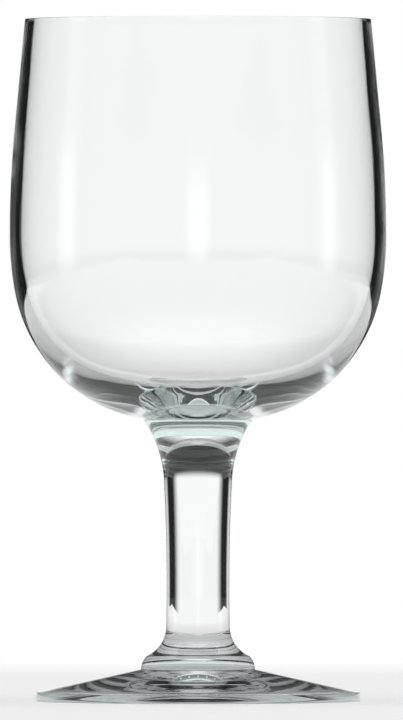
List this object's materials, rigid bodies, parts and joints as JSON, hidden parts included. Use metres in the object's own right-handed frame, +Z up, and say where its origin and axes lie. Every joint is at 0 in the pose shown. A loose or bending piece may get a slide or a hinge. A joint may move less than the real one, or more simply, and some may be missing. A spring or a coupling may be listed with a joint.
{
  "type": "water goblet",
  "caption": "Stemmed water goblet in clear glass: deep bowl drawn in at the rim, stout flared stem, stepped collar and shallow cone foot.",
  "frame": {"origin": "middle of the plane that the ring under the foot rests on", "axes": "+Z up along the goblet's own axis, from the foot to the rim; the goblet is round, so X and Y are free"},
  "size_m": [0.084, 0.084, 0.152],
  "materials": {
    "clear_glass": "clear colourless pressed glass, smooth and fire-polished, glossy all over"
  },
  "bodies": {
    "root": {"goblet": "clear_glass"}
  },
  "joints": []
}
